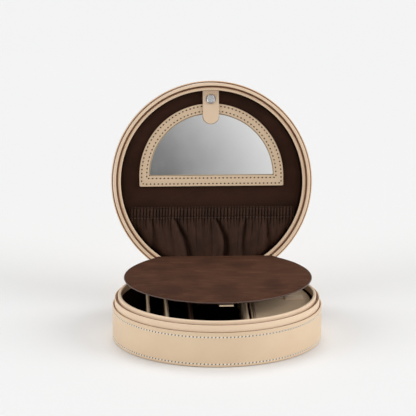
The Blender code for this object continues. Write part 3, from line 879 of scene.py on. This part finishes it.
def buildMirror():
    border = sizes("mirror_frame", lidPlace)
    glass = sizes("mirror_glass", lidPlace)
    centre = border.y1 - (border.x1 - border.x0) / 2
    sideWidth = (border.x1 - border.x0) / 2 - (glass.x1 - glass.x0) / 2 - 0.3
    bottomWidth = glass.y0 - border.y0 - 0.3
    shape = mirrorShape(border, centre)

    def framing(inset):
        # the bottom rail is a little wider than the round one
        share = inset / sideWidth
        points = shape(inset)
        extra = (bottomWidth - sideWidth) * share
        low = border.y0 + inset
        return [(x, y + extra * max(0.0, 1 - (y - low) / (centre - low))) for x, y in points]

    section = rolledSection(0, sideWidth, border.z0, border.z1,
                            (0.3, 0.3, mirrorLook["roll"], mirrorLook["roll"]))
    groove = []
    rows = (sideWidth - mirrorLook["rowInset"], mirrorLook["rowInset"])
    for row in rows:
        groove += [(row + 0.9, border.z1), (row, border.z1 - 0.22), (row - 0.9, border.z1)]
    firstTop = next(i for i,
                    p in enumerate(section) if p[1] > border.z1 - 0.01 and p[0] > sideWidth / 2)
    section = section[: firstTop + 1] + groove + section[firstTop + 1 :]
    piece("mirrorFrameHide", swept(framing, section), creamCalf, lidPlace, "mirror",
          ["mirror_frame"])
    for name, row in zip(("InnerRow", "OuterRow"), rows):
        line = [(x, y, border.z1 - 0.2) for x, y in framing(row)]
        stitching("mirror" + name, line, forward, mirrorStitch, creamThread, lidPlace, "mirror")
    edge = mirrorShape(glass, centre)
    section = [(0, glass.z0), (0, glass.z1 - 0.5), (0.6, glass.z1)]
    piece("mirrorGlassSilvered", swept(edge, section, closed=False), mirrorSilver, lidPlace,
          "mirror", ["mirror_glass"], sharp=20)
    showBoard("mirror_backing")


strapLook = {"bow": 0.35, "thick": 1.5, "tipCord": 0.42}


def buildStrap():
    strap = sizes("mirror_strap", lidPlace)
    half = (strap.x1 - strap.x0) / 2
    level = (strap.z0 + strap.z1) / 2
    tipCentre = strap.y0 + half
    straight = strap.y1 - tipCentre

    def surface(u, v):
        # straight down from the root, then round the tip
        if v < 0.6:
            y = strap.y1 - straight * v / 0.6
            wide = half
        else:
            turn = (v - 0.6) / 0.4 * radians(88)
            y = tipCentre - half * sin(turn)
            wide = half * cos(turn)
        bow = strapLook["bow"] * sin(pi * min(1, (strap.y1 - y) / (strap.y1 - strap.y0)))
        return Vector(((u * 2 - 1) * wide, y, level + bow))

    skin("mirrorStrapHide", surface, 16, 40, strapLook["thick"] - 0.2, creamCalfSmoothPaintedLighter, lidPlace,
         "strap",
         ["mirror_strap"], soften=0.35)
    # a brown cord round the rounded tip only: burnished edge and painted shade under the tip
    rim = []
    for i in range(29):
        turn = radians(180 + 180 * i / 28)
        rim.append((half * cos(turn), tipCentre + half * sin(turn), level - 0.1))
    piece("mirrorStrapTipEdgeAndShade", tube(rim, strapLook["tipCord"], 8), edgeWax, lidPlace, "strap")
    anchor = sizes("strap_anchor", lidPlace)
    thick = anchor.y1 - anchor.y0
    skin("strapAnchorHide", uprightStrip(anchor), 8, 8, thick, creamCalfSmoothPaintedLighter, lidPlace, "lid",
         ["strap_anchor"],
         soften=0.3)
    path = [(0, anchor.y0 + 0.2, anchor.z1 - 1.2), (0, anchor.y0 - 0.5, level + 1.1),
            (0, strap.y1 - 0.1, level + 0.45),
            (0, strap.y1 - 1.6, level + 0.35)]

    def bend(u, v):
        along = v * (len(path) - 1)
        i = min(int(along), len(path) - 2)
        point = Vector(path[i]).lerp(Vector(path[i + 1]), along - i)
        return lidPlace @ (Vector(((u * 2 - 1) * (half - 0.05), point.y, point.z)) * mm) / mm

    made = skin("mirrorStrapRoot", bend, 8, 12, 1.1, creamCalfSmoothPaintedLighter, basePlace,
                soften=0)
    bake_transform(made)
    buildSnap()


def buildSnap():
    # press snap: a domed cap with a turned rim, its socket behind the strap, its stud on the lid
    cap = sizes("snap_cap", lidPlace)
    radius = (cap.x1 - cap.x0) / 2
    place = lidPlace @ Matrix.Translation(Vector((0, (cap.y0 + cap.y1) / 2, 0)) * mm)
    section = [(radius - 0.01, cap.z0), (0.2, cap.z0), (0, cap.z0 + 0.2), (0.05, cap.z0 + 0.6)]
    section += [(0.35, cap.z0 + 1.15), (0.8, cap.z1), (1.2, cap.z1 - 0.05), (1.5, cap.z1 - 0.4)]
    section += [(1.9, cap.z1 - 0.42), (3.2, cap.z1 - 0.25), (radius - 0.3, cap.z1 - 0.15)]
    piece("snapCapTurned", swept(circle(radius, 72), section, closed=False), nickel, place, "strap",
          ["snap_cap"],
          sharp=50)
    for node, name, body in (("snap_socket", "snapSocketTurned", "strap"),
                             ("snap_stud", "snapStudTurned", "lid")):
        s = sizes(node, lidPlace)
        outer = (s.x1 - s.x0) / 2
        if body == "strap":
            section = rolledSection(0, 1.3, s.z0, s.z1, (0.3, 0.3, 0.4, 0.4))
            mesh = swept(circle(outer, 48), section)
        else:
            neck = 1.7
            section = [(outer - 0.01, s.z0), (0.2, s.z0), (0, s.z0 + 0.2), (0, s.z0 + 0.9),
                       (0.2, s.z0 + 1.1)]
            section += [(neck + 0.2, s.z0 + 1.2), (neck + 0.2, s.z0 + 1.9), (neck, s.z1 - 0.6),
                        (neck + 0.4, s.z1)]
            section += [(outer - 0.3, s.z1)]
            mesh = swept(circle(outer, 48), section, closed=False)
        piece(name, mesh, nickel, place, body, [node], sharp=50)


buildPanel()
buildMirror()
buildStrap()
print("lid fitted")


# the gathered pocket: pleated elastic band over a slack cloth sewn to the lid's lining
pocketLook = {
    "pleat": 3.1,  # width of one gather in the band
    "bandDepth": 2.1,
    "gather": 1.7,
    "swell": 2.2,
    "sideTuck": 7.0,
    "fullness": 1.3,  # cut width over the band's width
    # big folds: place at the band, place at the bottom, how far they lean, width, depth
    "folds": (
        (-38, -24, 3, 4.0, 7.0), (3, 11, 5, 3.8, 7.5), (-60, -57, 0, 4, 4.0),
        (34, 30, -2, 4, 3.2), (54, 56, 0, 4, 4.0),
    ),
    "drape": 1.06,  # cut length over the drop
}


def gatherAt(x, spacing, seed):
    # uneven gathers: round crests with narrow creases, whose spacing wanders along the band
    drift = 2.6 * noise.noise(Vector((x / 17, seed, 0))) + 1.2 * noise.noise(Vector((x / 6, seed,
                                                                                     5)))
    return 2 * abs(sin(pi * x / spacing + drift / 2)) ** 0.7 - 1


def buildPocket():
    band = sizes("pocket_band", lidPlace)
    cloth = sizes("pocket_cloth", lidPlace)
    half = (band.x1 - band.x0) / 2
    level = (band.z0 + band.z1) / 2
    tall = band.y1 - band.y0
    thick = band.z1 - band.z0

    def ruffle(u, v):
        # the band's face: gathers stand out between its two rows of elastic thread
        x = (u - 0.5) * 2 * half
        y = band.y1 - tall * v
        held = max(exp(-(((v - 0.12) / 0.07) ** 2)), exp(-(((v - 0.88) / 0.07) ** 2)))
        depth = pocketLook["bandDepth"] * (1 - 0.65 * held) * gatherAt(x + 0.5 * v,
                                                                       pocketLook["pleat"], 1.5)
        end = max(0.0, (abs(x) - half + 10) / 10) ** 2
        wavy = 0.4 * gatherAt(x, pocketLook["pleat"], 1.5) * (1 - v)
        wavy += 0.8 * noise.noise(Vector((x / 25, 2, 0)))
        return Vector((x, y + wavy, level + 0.15 + depth - 2.0 * end))

    bandPiece = skin("pocketBandGathered", ruffle, 420, 14, 0.7, pocketCloth, lidPlace, "lid",
                     ["pocket_band"],
                     soften=0)
    line = [tuple(ruffle(i / 420, 0.95) + Vector((0, -0.3, 0.45))) for i in range(421)]
    seam = piece("pocketBandSeam", tube(line, 0.22, 6), brownThread, lidPlace, "lid")
    radius = cloth.outer
    top = cloth.y1 + 0.9
    bottom = -radius + 0.8

    def slack(u, v):
        y = top + (bottom - top) * v
        wide = sqrt(max(radius * radius - y * y, 9)) - 0.3
        wide = min(wide, half - 1.5 + 3 * v)
        x = (u - 0.5) * 2 * wide
        fall = top - y
        depth = pocketLook["gather"] * exp(-fall / 8) * gatherAt(x + 0.5, pocketLook["pleat"], 1.5)
        depth += 1.3 * (1 - exp(-fall / 5)) * exp(-fall / 34) * gatherAt(x * (1 + 0.004 * fall),
                                                                         8.5, 4.0)
        uneven = 0.75 + 0.5 * noise.noise(Vector((x / 30, v, 3)))
        depth += pocketLook["swell"] * sin(pi * min(1, v * 1.15)) * uneven
        for start, end, lean, width, deep in pocketLook["folds"]:
            along = min(1.0, fall / 42)
            line = start + (end - start) * along + lean * sin(pi * along)
            away = (x - line) / (width * (0.6 + 0.7 * along))
            crest = exp(-((away + 1.1) ** 2)) * 0.5
            valley = exp(-((away - 0.2) ** 2) * 1.6)
            depth += deep * (crest - valley) * (1 - exp(-fall / 7))
        side = max(0.0, (abs(u - 0.5) * 2 - 0.74) / 0.26)
        foot = max(0.0, (v - 0.8) / 0.2)
        depth -= pocketLook["sideTuck"] * side * side * (1 - exp(-fall / 9)) + 5.0 * foot ** 2
        return Vector((x, y, (cloth.z0 + cloth.z1) / 2 - 0.2 + depth))

    made = skin("pocketClothGathered", slack, 260, 60, 0.5, pocketCloth, lidPlace, "lid",
                ["pocket_cloth"],
                soften=0)


buildPocket()
print("pocket gathered")


# the outer leather hinge: a strap end on each wall and the slack leather between them
hingeLook = {"sag": 2.6, "thick": 1.2, "stitchInset": 2.2}


def buildHinge():
    def strapEnd(name, node, place, body, facing):
        s = sizes(node, place)
        radius = s.outer - 0.65
        half = asin(s.x1 / s.outer)

        def surface(u, v):
            turn = (u * 2 - 1) * half
            return Vector((radius * sin(turn), facing * radius * cos(turn),
                           s.z0 + (s.z1 - s.z0) * v))

        skin(name, surface, 40, 6, hingeLook["thick"], creamCalf, place, body, [node],
             soften=0.4)
        row = []
        for height, step in ((s.z0 + hingeLook["stitchInset"], 1),
                             (s.z1 - hingeLook["stitchInset"], -1)):
            for i in range(41):
                turn = (i / 20 - 1) * half * 0.94 * step
                row.append(Vector(((s.outer + 0.02) * sin(turn),
                                   facing * (s.outer + 0.02) * cos(turn), height)))
        stitching(name + "Row", row, radialOutward, wallStitch, whiteThread, place, body)
        return s, half, radius

    base, half, radius = strapEnd("hingeStrapBase", "hinge_strap_base", basePlace, "base", 1)
    lid, *_ = strapEnd("hingeStrapLid", "hinge_strap_lid", lidPlace, "lid", -1)

    def slackLeather(u, v):
        # from the base strap's top edge, sagging under the axis, to the lid strap's near edge
        turn = (u * 2 - 1) * half
        start = Vector((radius * sin(turn), radius * cos(turn), base.z1 - 0.4))
        end = lidPlace @ (Vector((radius * sin(turn), -radius * cos(turn), lid.z1 - 0.4)) * mm) / mm
        point = start.lerp(end, v)
        sag = hingeLook["sag"] * sin(pi * v) * (1 - 0.8 * (u * 2 - 1) ** 2)
        return point + Vector((0, 0.25 * sag, -sag))

    made = skin("hingeLeatherBetween", slackLeather, 40, 18, hingeLook["thick"] * 0.8, creamCalf,
                basePlace,
                soften=0)
    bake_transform(made)


buildHinge()
print("hinge sewn")


# the studio: pale floor, even soft light, camera a little above the rim
cameraLook = {
    "target": (0, 0,
               0.06), "azimuth": -2.3, "elevation": 15.8, "distance": 2.6, "lens": 235.5, "roll": 0.0,
    "right": 0.19, "up": 1.43,
}
lightLook = {  # wide soft suns: strength in watts a square metre, angle in degrees
    "top": {"from": (0.0, 0.55, 1.0), "power": 0.75, "angle": 30},
    "right": {"from": (1.0, -0.28, 0.55), "power": 1.4, "angle": 45},
    "left": {"from": (-1.0, -0.28, 0.55), "power": 1.05, "angle": 45},
}
roomLook = {
    "floor": "#F3F3F3", "floorShade": "#F1F1F1", "air": 0.45, "glow": 0.82, "dim": 0.14,
    "patch": (0.9, 0.98), "doorway": (0.9956, 0.9986), "frontWay": (-0.026, -0.989, 0.148),
}


def buildStudio():
    floorMesh = bpy.data.meshes.new("studioFloor")
    floorMesh.from_pydata([(-8, -6, 0), (8, -6, 0), (8, 9, 0), (-8, 9, 0)], [], [(0, 1, 2, 3)])
    floor = bpy.data.objects.new("studioFloor", floorMesh)
    bpy.context.scene.collection.objects.link(floor)
    made, tree, shader = newMaterial("paintedFloor", Roughness=0.75)
    where = ownSpace(tree)
    soft = addNode(tree, "ShaderNodeTexNoise",
                   {"Vector": where, "Scale": 1.5, "Detail": 2.0}).outputs["Fac"]
    tree.links.new(blendColours(tree, soft, roomLook["floorShade"], roomLook["floor"]),
                   shader.inputs["Base Color"])
    floorMesh.materials.append(made)
    scene = bpy.context.scene
    scene.view_settings.view_transform = "Standard"
    world = bpy.data.worlds.new("studioAir")
    scene.world = world
    world.use_nodes = True
    tree = world.node_tree
    # even pale air; in front a brighter patch with a dark doorway in it, which the mirror shows
    way = addNode(tree, "ShaderNodeTexCoord").outputs["Generated"]
    facing = addNode(tree, "ShaderNodeVectorMath",
                     {0: way, 1: Vector(roomLook["frontWay"]).normalized()},
                     operation="DOT_PRODUCT").outputs["Value"]
    air, glow, dim = ([roomLook[key]] * 3 + [1] for key in ("air", "glow", "dim"))
    bright = blendColours(tree, spread(tree, facing, *roomLook["patch"]), air, glow)
    colour = blendColours(tree, spread(tree, facing, *roomLook["doorway"]), bright, dim)
    tree.links.new(colour, tree.nodes["Background"].inputs["Color"])
    for name, look in lightLook.items():
        lamp = bpy.data.lights.new(name + "Sun", "SUN")
        lamp.energy = look["power"]
        lamp.angle = radians(look["angle"])
        holder = bpy.data.objects.new(name + "Sun", lamp)
        holder.rotation_euler = Vector(look["from"]).to_track_quat("Z", "Y").to_euler()
        bpy.context.scene.collection.objects.link(holder)


def buildCamera():
    look = cameraLook
    lens = bpy.data.cameras.new("viewer")
    lens.lens = look["lens"]
    lens.clip_start = 0.1
    lens.clip_end = 50
    viewer = bpy.data.objects.new("viewer", lens)
    bpy.context.scene.collection.objects.link(viewer)
    a, e = radians(look["azimuth"]), radians(look["elevation"])
    back = Vector((sin(a) * cos(e), -cos(a) * cos(e), sin(e)))
    viewer.location = Vector(look["target"]) + back * look["distance"]
    aim = (-back).to_track_quat("-Z", "Y").to_matrix().to_4x4()
    tilt = Matrix.Rotation(radians(look["up"]), 4, "X") @ Matrix.Rotation(radians(look["right"]), 4,
                                                                          "Y")
    roll = Matrix.Rotation(radians(look["roll"]), 4, "Z")
    viewer.rotation_euler = (aim @ tilt @ roll).to_euler()
    bpy.context.scene.camera = viewer


buildStudio()
buildCamera()
print("studio lit")
